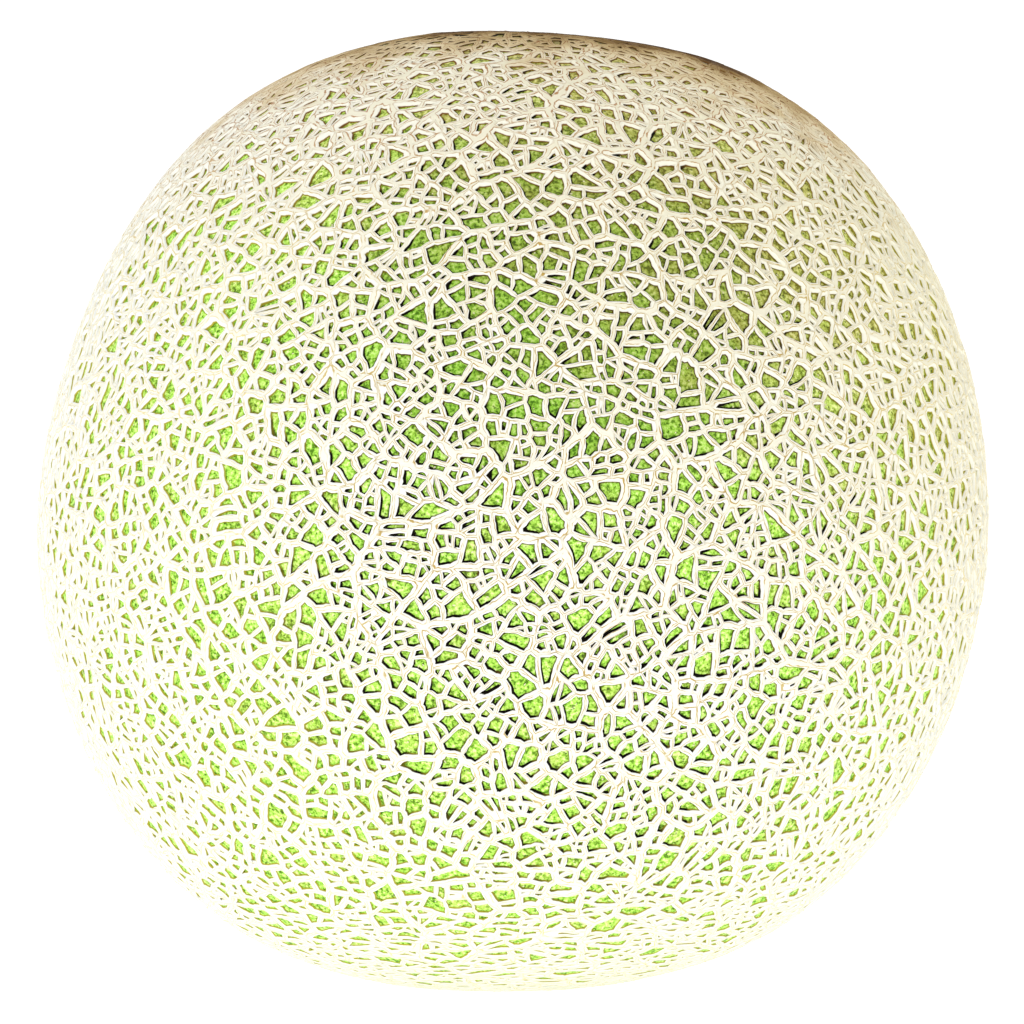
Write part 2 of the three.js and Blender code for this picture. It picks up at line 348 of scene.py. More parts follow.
# ---- The net -------------------------------------------------
# The net is cork: pale, dry ropes 0.9 to 1.7 mm wide, with steep sides and a fissure along the
# middle where the skin first split. Eight belts of it, each one closed web, cover the fruit.
BELTS = [                    # from the stem end down, all of the same height
    "net_stem_end", "net_upper_shoulder", "net_upper_belly", "net_above_waist",
    "net_below_waist", "net_lower_belly", "net_lower_shoulder", "net_blossom_end",
]
ROPE_HALF_WIDTHS = [0.85, 0.76, 0.63, 0.55, 0.45]    # mm, for each rank of rope
ROPE_RISES = [0.7, 0.68, 0.62, 0.57, 0.52]           # mm above the skin
LEAST_WIDTH, MORE_WIDTH = 0.8, 0.4     # shares of these widths, from rope to rope
LEAST_RISE, MORE_RISE = 0.9, 0.12      # and of these rises
ROPE_PROFILE = [(0, 0.87), (1, 0.04), (0.24, 1.0), (0.72, 0.84)]   # shares of half width and rise
CREST_STEP = 0.85            # mm between points along a rope
MAP_SECTORS = 5
MAP_MARGIN = 0.03            # radians, or the same share of the fruit's half height
HIDDEN_STRIP = 0.04          # of the map
RINGS = [0.24, 0.72, 1.0]    # shares of a rope's half width, from the fissure to its foot
APRON = 1.25                 # stands for the far edge of the skin past a rope's foot
APRON_WIDTH = 0.2            # mm of skin there, drawn dark: the rope foot's own colour, with painted shade beside it
UNDERSIDE = -1.0             # stands for the net's underside
OPEN_SHARE = 0.8             # in a tight patch, the ropes take this share of its half width
FRAY = 0.1                   # of the way to the patch's middle, for the bumps on a rope's side
SPIKE = 0.09                 # of the way out from it, for a patch's corners
THICKER_WAY = np.array([0.03, 0.0, 0.06])    # ropes are thicker on this side of the fruit
THIN_SPOTS = [((0.1, -0.83, 0.55), 0.2), ((-0.05, -0.78, -0.62), 0.08)]    # and thinner at these
THIN_EDGE = (0.85, 0.97)     # cosines of the angle from a thin spot, where it starts and is full
THICKER_COLLAR = 0.5         # ropes are thicker by this share in a band below the stem end
COLLAR_LOW, COLLAR_HIGH = (0.6, 0.76), (0.86, 0.93)     # the band's edges, in half heights
THICKER_BLOSSOM_END = 0.05
BLOSSOM_EDGE = (0.74, 0.93)
SHADOW_CAST_WAY = np.array([0.7, 0.0, 0.7])     # painted shadow: each rope is drawn casting a dark band this way, onto the skin beside it
LEAST_ROOM = 0.1             # mm from a patch's middle to its sides
LEAST_REACH = 0.02           # of that distance, left open by the ropes
LEAST_CORNER = 0.3           # sine of the angle that two sides turn by
SINK = 0.4                   # mm, how deep the net's underside lies in the skin
WANDER_WAVES = [(16, 0.25), (6.5, 0.17), (4.2, 0.14), (2.3, 0.07)]    # length and size in mm


crest_ways = [tuple(p) for p in points]
crest_rises = [0.0] * len(points)
crest_of_edge = {}
width_of_edge = {}
for (a, b), rank in list(rope_rank.items()):
    rope_rank[b, a] = rank


def lay_crests():
    """Points along the top of every rope, shared by the patches on both its sides."""
    for a, b in patch_of_edge:
        if a > b:
            continue
        rank = min(rope_rank.get((a, b), 0), len(ROPE_RISES) - 1)
        vary = draw(a, b)
        rise = ROPE_RISES[rank] * (LEAST_RISE + MORE_RISE * vary)
        for end in (a, b):
            crest_rises[end] = max(crest_rises[end], rise)
        width = ROPE_HALF_WIDTHS[rank] * (LEAST_WIDTH + MORE_WIDTH * vary)
        width_of_edge[a, b] = width_of_edge[b, a] = width
        steps = max(1, round((points[a] - points[b]).length * MEAN_RADIUS / CREST_STEP))
        between = []
        for step in range(1, steps):
            crest_ways.append(tuple(points[a].lerp(points[b], step / steps).normalized()))
            crest_rises.append(rise)
            between.append(len(crest_ways) - 1)
        crest_of_edge[a, b] = between
        crest_of_edge[b, a] = between[::-1]


patch_of_edge = {edge: patch for patch in patches for edge in pairs(patch.ring)}
lay_crests()
crest_ways = np.array(crest_ways)
crest_rises = np.array(crest_rises) * net_rise(crest_ways) / NET_RISE


class Web:
    """The ropes of one belt, as arrays for a closed mesh. Crests are shared by several patches."""

    def __init__(self):
        self.ways = []
        self.values = []         # rise, place across the rope, and share of the side in painted shadow
        self.faces = []
        self.count = 0
        self.top_of = {}
        self.under_of = {}

    def add(self, ways, rises, across, shadow_side):
        self.ways.append(ways)
        self.values.append([rises, np.full(len(ways), across), shadow_side])
        self.count += len(ways)
        return np.arange(self.count - len(ways), self.count)

    def crests(self, numbers, across, kept):
        """This web's vertices for these points along the ropes, made where they are new."""
        fresh = [n for n in numbers if n not in kept]
        made = self.add(crest_ways[fresh], crest_rises[fresh], across, np.zeros(len(fresh)))
        kept.update(zip(fresh, made.tolist()))
        return np.array([kept[n] for n in numbers])

    def band(self, outer, inner):
        self.faces.append(np.stack([outer, np.roll(outer, -1), np.roll(inner, -1), inner], 1))


def ring_inside(sides, reach, rays, width):
    """Points where rays from a patch's middle meet its sides, moved in by a width each.
    The nearest point moves into each corner, so that the corners stay sharp."""
    distances = np.maximum(reach - width, LEAST_REACH * reach)
    slopes = rays @ sides.T
    shares = np.where(slopes > 1e-9, distances / np.maximum(slopes, 1e-9), np.inf)
    nearest = shares.argmin(1)
    ring = rays * shares[np.arange(len(rays)), nearest][:, None]
    is_corner = np.zeros(len(rays), bool)
    following = np.roll(nearest, -1)
    for i in np.flatnonzero(nearest != following):
        pair = sides[[nearest[i], following[i]]]
        if abs(pair[0, 0] * pair[1, 1] - pair[0, 1] * pair[1, 0]) < LEAST_CORNER:
            continue
        corner = np.linalg.solve(pair, distances[[nearest[i], following[i]]])
        if (sides @ corner - distances).max() > 1e-7:
            continue
        after = (i + 1) % len(ring)
        gaps = [np.hypot(*(corner - ring[j])) for j in (i, after)]
        moved = i if gaps[0] < gaps[1] else after
        ring[moved] = corner
        is_corner[moved] = True
    return ring, is_corner


def roomiest_point(sides, reach):
    """The middle of the widest circle inside a patch's sides, and that circle's radius."""
    triples = np.array(list(itertools.combinations(range(len(sides)), 3)))
    walls = np.concatenate([sides[triples], np.ones((len(triples), 3, 1))], 2)
    sound = np.abs(np.linalg.det(walls)) > 1e-4      # nearly parallel walls meet nowhere near
    spots = np.linalg.solve(walls[sound], reach[triples[sound]][:, :, None])[:, :, 0]
    spare = (reach - spots[:, :2] @ sides.T).min(1)
    best = spare.argmax()
    return spots[best, :2], spare[best]


def add_patch(web, patch):
    """The half ropes around one patch: bands from the fissure down to the skin, and the underside."""
    middle = np.array(patch.middle())
    east = np.array([-middle[1], middle[0], 0])
    east /= np.linalg.norm(east)
    axes = np.stack([east, np.cross(middle, east)], 1)
    numbers = []
    widths = []
    for here, there in pairs(patch.ring):
        numbers += [here, *crest_of_edge[here, there]]
        widths.append(width_of_edge[here, there])
    corners = np.array([points[p] for p in patch.ring])
    corners = corners @ axes / (corners @ middle)[:, None]
    along = np.roll(corners, -1, 0) - corners
    sides = np.stack([along[:, 1], -along[:, 0]], 1)
    sides /= np.hypot(*sides.T)[:, None]
    reach = (sides * corners).sum(1)
    centre, room = roomiest_point(sides, reach)
    if room <= 0:
        centre = np.zeros(2)
    reach = np.maximum(reach - sides @ centre, LEAST_ROOM / MEAN_RADIUS)
    rays = crest_ways[numbers] @ axes / (crest_ways[numbers] @ middle)[:, None] - centre
    thin = sum(share * smooth_step(middle @ spot, *THIN_EDGE) for spot, share in THIN_SPOTS)
    up = middle[2]
    thick = 1 + middle @ THICKER_WAY + THICKER_BLOSSOM_END * smooth_step(-up, *BLOSSOM_EDGE)
    thick += THICKER_COLLAR * (smooth_step(up, *COLLAR_LOW) - smooth_step(up, *COLLAR_HIGH))
    widths = np.array(widths) * thick * (1 - thin) / MEAN_RADIUS
    tight = min(1.0, OPEN_SHARE * float((reach / widths).min()))
    rises = crest_rises[numbers]
    chances = np.random.default_rng(patch.number).random(len(numbers))
    outer = web.crests(numbers, 0.0, web.top_of)
    for share in [*RINGS, APRON]:
        width = widths * tight * min(share, 1) + (APRON_WIDTH / MEAN_RADIUS if share > 1 else 0)
        ring, is_corner = ring_inside(sides, reach, rays, width)
        if share > RINGS[0]:
            ring *= np.where(is_corner, 1 + SPIKE * chances, 1 - FRAY * chances**2)[:, None]
        ways = middle + (ring + centre) @ axes.T
        ways /= np.linalg.norm(ways, axis=1)[:, None]
        shadow_side = -(ring @ axes.T @ SHADOW_CAST_WAY) / np.hypot(*ring.T)
        inner = web.add(ways, rises, share, shadow_side)
        web.band(outer, inner)
        outer = inner
    open_skin.append(ways)
    web.band(outer, web.crests(numbers, UNDERSIDE, web.under_of))


def close_borders(web, members):
    """Walls along the middle of the ropes where one belt meets the next."""
    inside = {patch.number for patch in members}
    for patch in members:
        for here, there in pairs(patch.ring):
            if patch_of_edge[there, here].number in inside:
                continue
            line = [here, *crest_of_edge[here, there], there]
            top = np.array([web.top_of[n] for n in line])
            under = np.array([web.under_of[n] for n in line])
            web.faces.append(np.stack([top[1:], top[:-1], under[:-1], under[1:]], 1))


def colour(code):
    """An sRGB hex colour as linear light."""
    parts = [int(code[i:i + 2], 16) / 255 for i in (1, 3, 5)]
    return [p / 12.92 if p <= 0.04045 else ((p + 0.055) / 1.055) ** 2.4 for p in parts] + [1.0]


def add(tree, kind, inputs=(), stops=(), **settings):
    """Adds a node with its settings and a ramp's colour stops, and sets or links its inputs, given
    in order or by name. A node stands for its first output in use, and a hex code for its colour."""
    node = tree.nodes.new(kind)
    for name, value in settings.items():
        setattr(node, name, value)
    for i, (place, code) in enumerate(stops):
        elements = node.color_ramp.elements
        element = elements[i] if i < 2 else elements.new(1.0)
        element.position = place
        element.color = colour(code)
    for name, value in inputs.items() if isinstance(inputs, dict) else enumerate(inputs):
        if isinstance(value, bpy.types.Node):
            value = next(output for output in value.outputs if output.enabled)
        elif isinstance(value, str) and value.startswith("#"):
            value = colour(value)
        socket = node.inputs[name]
        if isinstance(value, bpy.types.NodeSocket):
            tree.links.new(value, socket)
        else:
            socket.default_value = value
    return node


def new_object(name, data):
    made = bpy.data.objects.new(name, data)
    bpy.context.scene.collection.objects.link(made)
    return made


def plain_mesh(name, vertices, faces):
    mesh = bpy.data.meshes.new(name)
    mesh.from_pydata(vertices.tolist(), [], faces)
    mesh.polygons.foreach_set("use_smooth", [True] * len(mesh.polygons))
    return new_object(name, mesh)


def web_piece(name, members, low, high):
    web = Web()
    for patch in members:
        add_patch(web, patch)
    close_borders(web, members)
    ways = swayed(np.concatenate(web.ways), WANDER_WAVES, first_salt=40)
    faces = np.concatenate(web.faces)
    rise, across, shadow_side = np.concatenate(web.values, axis=1)
    piece = plain_mesh(name, skin_points(ways), faces.tolist())
    lay_map(piece, ways, faces, (across[faces] < 0).any(1), low, high)
    for key, value in (("across", across), ("rise", rise * MM), ("shadow_side", shadow_side)):
        piece.data.attributes.new(key, "FLOAT", "POINT").data.foreach_set("value", value)
    return piece


def lay_map(piece, ways, faces, is_hidden, low, high):
    """A map of a belt's faces, laid out flat: the caps as seen along the axis, the other belts cut
    into sectors one above the other. Faces under the net share a strip at the edge."""
    corners = ways[faces]
    middles = corners.mean(1)
    if max(-low, high) == 1:
        widest = math.acos(min(abs(low), abs(high))) + MAP_MARGIN
        flat = corners[:, :, :2] / np.hypot(corners[:, :, 0], corners[:, :, 1])[:, :, None]
        spots = 0.5 + flat * np.arccos(np.clip(np.abs(corners[:, :, 2:]), 0, 1)) / (2 * widest)
    else:
        turn = 2 * math.pi / MAP_SECTORS
        sectors = np.floor(np.arctan2(middles[:, 1], middles[:, 0]) / turn)
        starts = (sectors * turn)[:, None]
        around = np.arctan2(corners[:, :, 1], corners[:, :, 0]) - starts - turn / 2
        around = (around + math.pi) % (2 * math.pi) - math.pi
        across = 0.5 + around / (turn + 2 * MAP_MARGIN)
        up = (corners[:, :, 2] - low + MAP_MARGIN) / (high - low + 2 * MAP_MARGIN)
        rows = (sectors - sectors.min())[:, None]
        spots = np.stack([across, (rows + up) / MAP_SECTORS], 2)
    spots[:, :, 1] *= 1 - HIDDEN_STRIP
    spots[is_hidden, :, 1] = 1 - HIDDEN_STRIP * (0.1 + 0.8 * spots[is_hidden, :, 1])
    layer = piece.data.uv_layers.new(name="OFBake")
    layer.data.foreach_set("uv", np.clip(spots, 0, 1).ravel())


def growth_tree(name, labels):
    """A new Geometry Nodes tree with these values as inputs, and the sockets that give them."""
    tree = bpy.data.node_groups.new(name, "GeometryNodeTree")
    tree.is_modifier = True
    face = tree.interface
    face.new_socket("Geometry", in_out="INPUT", socket_type="NodeSocketGeometry")
    for label in labels:
        face.new_socket(label, in_out="INPUT", socket_type="NodeSocketFloat")
    face.new_socket("Geometry", in_out="OUTPUT", socket_type="NodeSocketGeometry")
    return tree, add(tree, "NodeGroupInput").outputs


def finish_growth(tree, geometry, material):
    """Makes a tree's result one real mesh of this material."""
    real = add(tree, "GeometryNodeRealizeInstances", {"Geometry": geometry})
    dressed = add(tree, "GeometryNodeSetMaterial", {"Geometry": real, "Material": material})
    add(tree, "NodeGroupOutput", {"Geometry": dressed})


def raise_net_tree(material):
    """Lifts a flat web out of the skin, to the profile of a rope, and roughens it."""
    tree, given = growth_tree("raise_net", ("Middle height", "Sink", "Grain", "Grain height"))
    place = add(tree, "GeometryNodeInputPosition")
    middle = add(tree, "ShaderNodeCombineXYZ", {"Z": given["Middle height"]})
    from_middle = add(tree, "ShaderNodeVectorMath", (place, middle), operation="SUBTRACT")
    outward = add(tree, "ShaderNodeVectorMath", (from_middle,), operation="NORMALIZE")
    across = add(tree, "GeometryNodeInputNamedAttribute", {"Name": "across"})
    rise = add(tree, "GeometryNodeInputNamedAttribute", {"Name": "rise"})
    profile = add(tree, "ShaderNodeFloatCurve", {"Value": across})
    shape = profile.mapping.curves[0]
    for point, spot in zip(shape.points, ROPE_PROFILE):
        point.location = spot
    for spot in ROPE_PROFILE[2:]:
        shape.points.new(*spot)
    profile.mapping.update()
    is_apron = add(tree, "ShaderNodeMath", (across, (1 + APRON) / 2), operation="GREATER_THAN")
    is_top = add(tree, "ShaderNodeMath", (across, UNDERSIDE / 2), operation="GREATER_THAN")
    body = add(tree, "ShaderNodeMath", (is_top, is_apron), operation="SUBTRACT")
    lift = add(tree, "ShaderNodeMath", (rise, profile), operation="MULTIPLY")
    up = add(tree, "ShaderNodeMath", (lift, body), operation="MULTIPLY")
    down = add(tree, "ShaderNodeMath", (1.0, is_top), operation="SUBTRACT")
    depth = add(tree, "ShaderNodeMath", (down, given["Sink"]), operation="MULTIPLY")
    height = add(tree, "ShaderNodeMath", (up, depth), operation="SUBTRACT")
    lifted = add(tree, "ShaderNodeVectorMath", {0: outward, "Scale": height}, operation="SCALE")
    scale = add(tree, "ShaderNodeMath", (1.0, given["Grain"]), operation="DIVIDE")
    noise = add(tree, "ShaderNodeTexNoise", {"Vector": place, "Scale": scale, "Detail": 2.0})
    centred = add(tree, "ShaderNodeVectorMath", (noise.outputs["Color"], (0.5, 0.5, 0.5)),
                  operation="SUBTRACT")
    grain = add(tree, "ShaderNodeMath", (body, given["Grain height"]), operation="MULTIPLY")
    rough = add(tree, "ShaderNodeVectorMath", {0: centred, "Scale": grain}, operation="SCALE")
    offset = add(tree, "ShaderNodeVectorMath", (lifted, rough))
    moved = add(tree, "ShaderNodeVectorMath", (place, offset))
    # Nothing goes below the ground, and the underside stays above it.
    lowest = add(tree, "ShaderNodeCombineXYZ", {"X": -1.0, "Y": -1.0, "Z": depth})
    rested = add(tree, "ShaderNodeVectorMath", (moved, lowest), operation="MAXIMUM")
    placed = add(tree, "GeometryNodeSetPosition", {"Geometry": given["Geometry"], "Position": rested})
    finish_growth(tree, placed, material)
    return tree


def grown(piece, tree, inputs):
    """Runs a Geometry Nodes tree on a piece, and keeps the result as its plain mesh."""
    modifier = piece.modifiers.new(tree.name, "NODES")
    modifier.node_group = tree
    names = {item.name: item.identifier for item in tree.interface.items_tree}
    for name, value in inputs.items():
        modifier[names[name]] = value
    ready = piece.evaluated_get(bpy.context.evaluated_depsgraph_get())
    mesh = bpy.data.meshes.new_from_object(ready)
    piece.modifiers.remove(modifier)
    flat = piece.data
    piece.data = mesh
    bpy.data.meshes.remove(flat)
    mesh.name = piece.name


def new_material(name):
    material = bpy.data.materials.new(name)
    material.use_nodes = True
    tree = material.node_tree
    tree.nodes.clear()
    return material, tree


def finish_surface(tree, inputs):
    shader = add(tree, "ShaderNodeBsdfPrincipled", inputs)
    add(tree, "ShaderNodeOutputMaterial", {"Surface": shader})


SHADED_SIDE_WAY = (0.55, 0.0, 0.9)     # painted shade: skin is drawn more olive and darker, and cork creamier and darker, towards this side, away from the light
# painted shade: the skin is drawn darker round this spot, high on the near side
SKIN_SHADE_SPOT = (8 * MM, -64 * MM, 107 * MM)
# browner towards the stem: partly the fruit's own colour, partly painted shade at its top
BROWN_AND_SHADE_SPOT = (11 * MM, -2 * MM, 150 * MM)
BROWN_AND_SHADE_SQUEEZE = (0.5, 1.0, 1.0)  # so the brown and its painted shade reach twice as far sideways
# painted shade at the ropes: strongest round this middle of the belly, out to these reaches
BELLY_SHADE_SPOT = (11 * MM, 0.0, 84 * MM)
BELLY_SHADE_WIDTH, BELLY_SHADE_HEIGHT = 52 * MM, 72 * MM     # to each side of it


def browned_and_shaded(tree, place, tint):
    """A colour as it turns cream, then tan, then dark brown near the stem: partly the browner cork and
    skin there, partly painted shade over the top of the fruit.
    """
    from_stem = add(tree, "ShaderNodeVectorMath", (place, BROWN_AND_SHADE_SPOT), operation="SUBTRACT")
    widened = add(tree, "ShaderNodeVectorMath", (from_stem, BROWN_AND_SHADE_SQUEEZE), operation="MULTIPLY")
    away = add(tree, "ShaderNodeVectorMath", (widened,), operation="LENGTH")
    blotches = add(tree, "ShaderNodeTexNoise", {"Vector": place, "Scale": 1 / (9 * MM), "Detail": 4.0})
    # A map range takes a value, two bounds and what they turn to, which is 0 and 1 unless given.
    ragged = add(tree, "ShaderNodeMapRange", (blotches, 0.3, 0.7, 0.8, 1.2))
    away = add(tree, "ShaderNodeMath", (away, ragged), operation="MULTIPLY")
    share = add(tree, "ShaderNodeMapRange", (away, 0.0, 40 * MM))
    brown_and_shade = add(tree, "ShaderNodeValToRGB", {"Fac": share},
                stops=[(0.3, "#5C4226"), (0.37, "#6E5334"), (0.44, "#94784E"), (0.53, "#C4AC86"),
                       (0.7, "#E7D6BC"), (0.92, "#FDFAF6")])
    return add(tree, "ShaderNodeMix", {0: 1.0, 6: tint, 7: brown_and_shade},
               data_type="RGBA", blend_type="MULTIPLY")


def skin_colour(tree, place):
    """Waxy green skin: mottled at half a millimetre with pale flecks and dark specks, and different from
    mesh to mesh. It is drawn yellower, more olive and darker towards the upper right and the stem end,
    and darker in a spot high on the near side, as painted shade; near the stem it is also browner,
    partly its own colour and partly painted shade."""
    mesh = add(tree, "ShaderNodeTexNoise", {"Vector": place, "Scale": 1 / (6 * MM), "Detail": 1.0})
    mottle = add(tree, "ShaderNodeTexNoise",
                 {"Vector": place, "Scale": 1 / (0.6 * MM), "Detail": 3.0, "Roughness": 0.6})
    specks = add(tree, "ShaderNodeTexNoise", {"Vector": place, "Scale": 1 / (0.5 * MM), "Detail": 1.0})
    green = add(tree, "ShaderNodeValToRGB", {"Fac": mottle},
                stops=[(0.37, "#4C7A12"), (0.46, "#8EC43E"), (0.55, "#B0E460"), (0.66, "#DCF2A4")])
    olive = add(tree, "ShaderNodeValToRGB", {"Fac": mottle},
                stops=[(0.38, "#6A6824"), (0.46, "#9E9E48"), (0.55, "#B8BA64"), (0.66, "#D6D494")])
    # Painted shade: more olive and darker towards the side away from the light, and more olive from mesh
    # to mesh at random.
    shaded_side = add(tree, "ShaderNodeVectorMath", (place, SHADED_SIDE_WAY), operation="DOT_PRODUCT")
    up = add(tree, "ShaderNodeMapRange", (shaded_side, 80 * MM, 128 * MM, -0.1, 0.85))
    drift = add(tree, "ShaderNodeMapRange", (mesh, 0.4, 0.75, 0.0, 0.5))
    olive_share = add(tree, "ShaderNodeMath", (up, drift), use_clamp=True)
    skin = add(tree, "ShaderNodeMix", {0: olive_share, 6: green, 7: olive}, data_type="RGBA")
    # Painted shade: darker round a spot high on the near side.
    away = add(tree, "ShaderNodeVectorMath", (place, SKIN_SHADE_SPOT), operation="DISTANCE")
    spot_shade = add(tree, "ShaderNodeMapRange", (away, 40 * MM, 22 * MM), interpolation_type="SMOOTHSTEP")
    skin = add(tree, "ShaderNodeMix", {0: spot_shade, 6: skin, 7: "#D2D8C0"},
               data_type="RGBA", blend_type="MULTIPLY")
    dark = add(tree, "ShaderNodeMapRange", (specks, 0.38, 0.3, 0.0, 0.75))
    specked = add(tree, "ShaderNodeMix", {0: dark, 6: skin, 7: "#2C4008"}, data_type="RGBA")
    return browned_and_shaded(tree, place, specked)


def belly_shade_share(tree, place):
    """How strong the painted shade at the ropes' feet and cracks is: most on the belly's broad middle,
    little at the sides and ends.
    """
    from_belly = add(tree, "ShaderNodeVectorMath", (place, BELLY_SHADE_SPOT), operation="SUBTRACT")
    shares = add(tree, "ShaderNodeVectorMath",
                 (from_belly, (1 / BELLY_SHADE_WIDTH, 0.0, 1 / BELLY_SHADE_HEIGHT)), operation="MULTIPLY")
    away = add(tree, "ShaderNodeVectorMath", (shares,), operation="LENGTH")
    return add(tree, "ShaderNodeMapRange", (away, 0.55, 1.05, 1.0, 0.12))


def cork_material():
    """Cork net: dried suberin over each healed split. It is matte: nearly white on a rope's shoulders,
    cream along its middle with a thin tan crack on each side, and dark where its foot meets the
    skin, partly its own colour and partly painted shade, with a near-black painted shadow on one side."""
    material, tree = new_material("cork_net")
    place = add(tree, "ShaderNodeTexCoord").outputs["Object"]
    across = add(tree, "ShaderNodeAttribute", attribute_name="across").outputs["Fac"]
    shadow_side = add(tree, "ShaderNodeAttribute", attribute_name="shadow_side").outputs["Fac"]
    belly_shade = belly_shade_share(tree, place)

    drift = add(tree, "ShaderNodeTexNoise",
                {"Vector": place, "Scale": 1 / (3.5 * MM), "Detail": 3.0, "Roughness": 0.6})
    crack_place = add(tree, "ShaderNodeMapRange", (drift, 0.35, 0.65, 0.05, 0.65))
    off = add(tree, "ShaderNodeMath", (across, crack_place), operation="SUBTRACT")
    away = add(tree, "ShaderNodeMath", (off,), operation="ABSOLUTE")
    crack = add(tree, "ShaderNodeMapRange", (away, 0.12, 0.06))
    patchy = add(tree, "ShaderNodeTexNoise", {"Vector": place, "Scale": 1 / (1.4 * MM), "Detail": 2.0})
    strength = add(tree, "ShaderNodeMapRange", (patchy, 0.35, 0.55, 0.2, 0.9))
    line = add(tree, "ShaderNodeMath", (crack, strength), operation="MULTIPLY")
    inside = add(tree, "ShaderNodeMapRange", (off, 0.05, -0.05))
    shoulder = add(tree, "ShaderNodeMapRange", (across, 0.5, 0.64))
    height = add(tree, "ShaderNodeSeparateXYZ", {0: place}).outputs["Z"]
    up = add(tree, "ShaderNodeMapRange", (height, 112 * MM, 134 * MM))
    tan = "#D2C690"
    # The cracks are drawn darker on the belly's middle as painted shade, and browner near the top.
    for share, tint in ((belly_shade, "#A08220"), (up, "#9A6E44")):
        tan = add(tree, "ShaderNodeMix", {0: share, 6: tan, 7: tint}, data_type="RGBA")
    cork = "#DADDDA"
    for share, tint in ((shoulder, "#E1E4E2"), (inside, "#D8D9D0"), (line, tan)):
        cork = add(tree, "ShaderNodeMix", {0: share, 6: cork, 7: tint}, data_type="RGBA")
    # Painted shade: creamier and darker towards the side away from the light.
    shaded_side = add(tree, "ShaderNodeVectorMath", (place, SHADED_SIDE_WAY), operation="DOT_PRODUCT")
    side_shade = add(tree, "ShaderNodeMapRange", (shaded_side, 60 * MM, 140 * MM))
    cork = add(tree, "ShaderNodeMix", {0: side_shade, 6: cork, 7: "#FDF8E6"},
               data_type="RGBA", blend_type="MULTIPLY")
    cork = browned_and_shaded(tree, place, cork)

    # Painted shadow: a near-black band on the skin beside each rope, on the side where its shadow would
    # fall, strongest on the belly's middle.
    painted_shadow = add(tree, "ShaderNodeMath", (shadow_side, belly_shade), operation="MULTIPLY")
    # Painted shade over the top of the fruit: near the stem end the dark band is drawn round every mesh.
    top_shade = add(tree, "ShaderNodeMapRange", (height, 140 * MM, 149 * MM, -0.1, 0.5))
    painted_shadow = add(tree, "ShaderNodeMath", (painted_shadow, top_shade), operation="MAXIMUM")
    above = add(tree, "ShaderNodeMath", (painted_shadow, 0.14, across), operation="MULTIPLY_ADD")
    rim = add(tree, "ShaderNodeMapRange", (above, 0.87, 0.93))
    shadow_black = add(tree, "ShaderNodeMapRange", (painted_shadow, 0.15, 0.45))
    # The foot's own olive colour, drawn darker on the belly's middle and near-black in the painted
    # shadow, as painted shade, and browner near the top.
    foot = "#A69E30"
    for share, tint in ((belly_shade, "#4A360E"), (up, "#6E4A20"), (shadow_black, "#0C0701")):
        foot = add(tree, "ShaderNodeMix", {0: share, 6: foot, 7: tint}, data_type="RGBA")
    edge = add(tree, "ShaderNodeMix", {0: rim, 6: cork, 7: foot}, data_type="RGBA")
    below = add(tree, "ShaderNodeMath", (painted_shadow, -0.13, across), operation="MULTIPLY_ADD")
    past = add(tree, "ShaderNodeMapRange", (below, 1.04, 1.14))
    full = add(tree, "ShaderNodeMix", {0: past, 6: edge, 7: skin_colour(tree, place)}, data_type="RGBA")
    finish_surface(tree, {"Base Color": full, "Roughness": 0.8, "IOR": 1.45, "Specular IOR Level": 0.1})
    return material


cork = cork_material()
raise_net = raise_net_tree(cork)
open_skin = []
middle_z = {patch.number: patch.middle().z for patch in patches}
for i, name in enumerate(BELTS):
    low, high = (1 - 2 * edge / len(BELTS) for edge in (i + 1, i))
    members = [p for p in patches if not p.is_scar() and low <= middle_z[p.number] < high]
    net = web_piece(name, members, low, high)
    grown(net, raise_net, {
        "Middle height": middle_height * MM,
        "Sink": SINK * MM,
        "Grain": 0.9 * MM,
        "Grain height": 0.1 * MM,
    })
    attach(net, "root")

# ---- The rind ------------------------------------------------
# The green skin that shows in the meshes of the net, and that the net has grown out of. It is a
# thin, tight layer of living cells under wax.
RIND_DETAIL = 7              # which gives 81,920 triangles
RIND_LIFT = 0.05             # mm, least height above the ground
STEM_DENT = 4.0              # mm, to make room for the scars
BLOSSOM_DENT = 1.5
DENT_EDGES = (1.05, 0.85)    # of a scar's radius, where a dent starts and where it is full


def rind_material():
    """Skin under a thin coat of wax, which gives it a soft sheen."""
    material, tree = new_material("waxy_green_rind")
    place = add(tree, "ShaderNodeTexCoord").outputs["Object"]
    finish_surface(tree, {"Base Color": skin_colour(tree, place), "Roughness": 0.5, "IOR": 1.45,
                          "Specular IOR Level": 0.15})
    return material


def ico_ball(levels):
    """Directions and triangles of a ball with even facets."""
    ball = bmesh.new()
    bmesh.ops.create_icosphere(ball, subdivisions=levels, radius=1)
    ways = np.array([v.co[:] for v in ball.verts])
    faces = [[v.index for v in f.verts] for f in ball.faces]
    ball.free()
    return ways / np.linalg.norm(ways, axis=1)[:, None], faces


ways, faces = ico_ball(RIND_DETAIL)
polar = np.arccos(np.clip(ways[:, 2], -1, 1))
rind_points = skin_points(ways)
rind_points[:, 2] = np.maximum(rind_points[:, 2], RIND_LIFT * MM)
stem_edges = [-share * STEM_SCAR_ANGLE for share in DENT_EDGES]
blossom_edges = [math.pi - share * BLOSSOM_SCAR_ANGLE for share in DENT_EDGES]
rind_points[:, 2] -= STEM_DENT * MM * smooth_step(-polar, *stem_edges)
rind_points[:, 2] += BLOSSOM_DENT * MM * smooth_step(polar, *blossom_edges)
rind = plain_mesh("rind", rind_points, faces)
rind.data.materials.append(rind_material())
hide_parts("melon")
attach(rind, "root")

